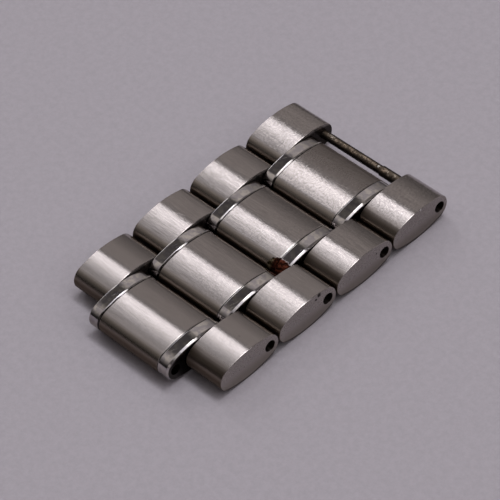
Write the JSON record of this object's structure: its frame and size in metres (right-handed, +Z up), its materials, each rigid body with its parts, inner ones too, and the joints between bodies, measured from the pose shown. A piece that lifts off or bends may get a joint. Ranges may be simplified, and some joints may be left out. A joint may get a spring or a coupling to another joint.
{
  "type": "watch bracelet link",
  "caption": "Short length of steel watch bracelet: crowned satin links with narrow polished spacers, hinged row to row on stepped push pins, with a bare pin at the far end.",
  "frame": {"origin": "middle of the strap's footprint, on the surface it lies on", "axes": "+X along the link pins towards their thicker ends, +Y along the strap towards the bare pin, +Z up from the underside"},
  "size_m": [0.018, 0.0302, 0.0032],
  "materials": {
    "satin_steel": "satin, brushed along the strap",
    "polished_steel": "mirror polished stainless steel",
    "pin_steel": "worn, stained by wear",
    "rod_steel": "plain drawn wire"
  },
  "bodies": {
    "row_1": {"outer_link_left_1": "satin_steel", "outer_link_right_1": "satin_steel", "spacer_left_1": "polished_steel", "spacer_right_1": "polished_steel", "centre_link_1": "satin_steel", "cross_rod_near_1": "rod_steel", "cross_rod_far_1": "rod_steel"},
    "pin_1": {"link_pin_1": "pin_steel"},
    "row_2": {"outer_link_left_2": "satin_steel", "outer_link_right_2": "satin_steel", "spacer_left_2": "polished_steel", "spacer_right_2": "polished_steel", "centre_link_2": "satin_steel", "cross_rod_near_2": "rod_steel", "cross_rod_far_2": "rod_steel"},
    "pin_2": {"link_pin_2": "pin_steel"},
    "row_3": {"outer_link_left_3": "satin_steel", "outer_link_right_3": "satin_steel", "spacer_left_3": "polished_steel", "spacer_right_3": "polished_steel", "centre_link_3": "satin_steel", "cross_rod_near_3": "rod_steel", "cross_rod_far_3": "rod_steel"},
    "pin_3": {"link_pin_3": "pin_steel"},
    "row_4": {"outer_link_left_4": "satin_steel", "outer_link_right_4": "satin_steel", "spacer_left_4": "polished_steel", "spacer_right_4": "polished_steel", "centre_link_4": "satin_steel", "cross_rod_near_4": "rod_steel", "cross_rod_far_4": "rod_steel"},
    "pin_4": {"link_pin_4": "pin_steel"}
  },
  "joints": [
    {"name": "row_2_swing", "type": "hinge", "parent": "row_1", "child": "row_2", "pos_m": [0, -0.00705, 0.0016], "axis": [1, 0, 0], "range_deg": [-60, 60]},
    {"name": "row_3_swing", "type": "hinge", "parent": "row_2", "child": "row_3", "pos_m": [0, 0, 0.0016], "axis": [1, 0, 0], "range_deg": [-60, 60]},
    {"name": "row_4_swing", "type": "hinge", "parent": "row_3", "child": "row_4", "pos_m": [0, 0.00705, 0.0016], "axis": [1, 0, 0], "range_deg": [-60, 60]},
    {"name": "link_pin_1_slide", "type": "slide", "parent": "row_1", "child": "pin_1", "axis": [1, 0, 0], "range_m": [0, 0.018]},
    {"name": "link_pin_2_slide", "type": "slide", "parent": "row_2", "child": "pin_2", "axis": [1, 0, 0], "range_m": [0, 0.018]},
    {"name": "link_pin_3_slide", "type": "slide", "parent": "row_3", "child": "pin_3", "axis": [1, 0, 0], "range_m": [0, 0.018]},
    {"name": "link_pin_4_slide", "type": "slide", "parent": "row_4", "child": "pin_4", "axis": [1, 0, 0], "range_m": [0, 0.018]}
  ]
}
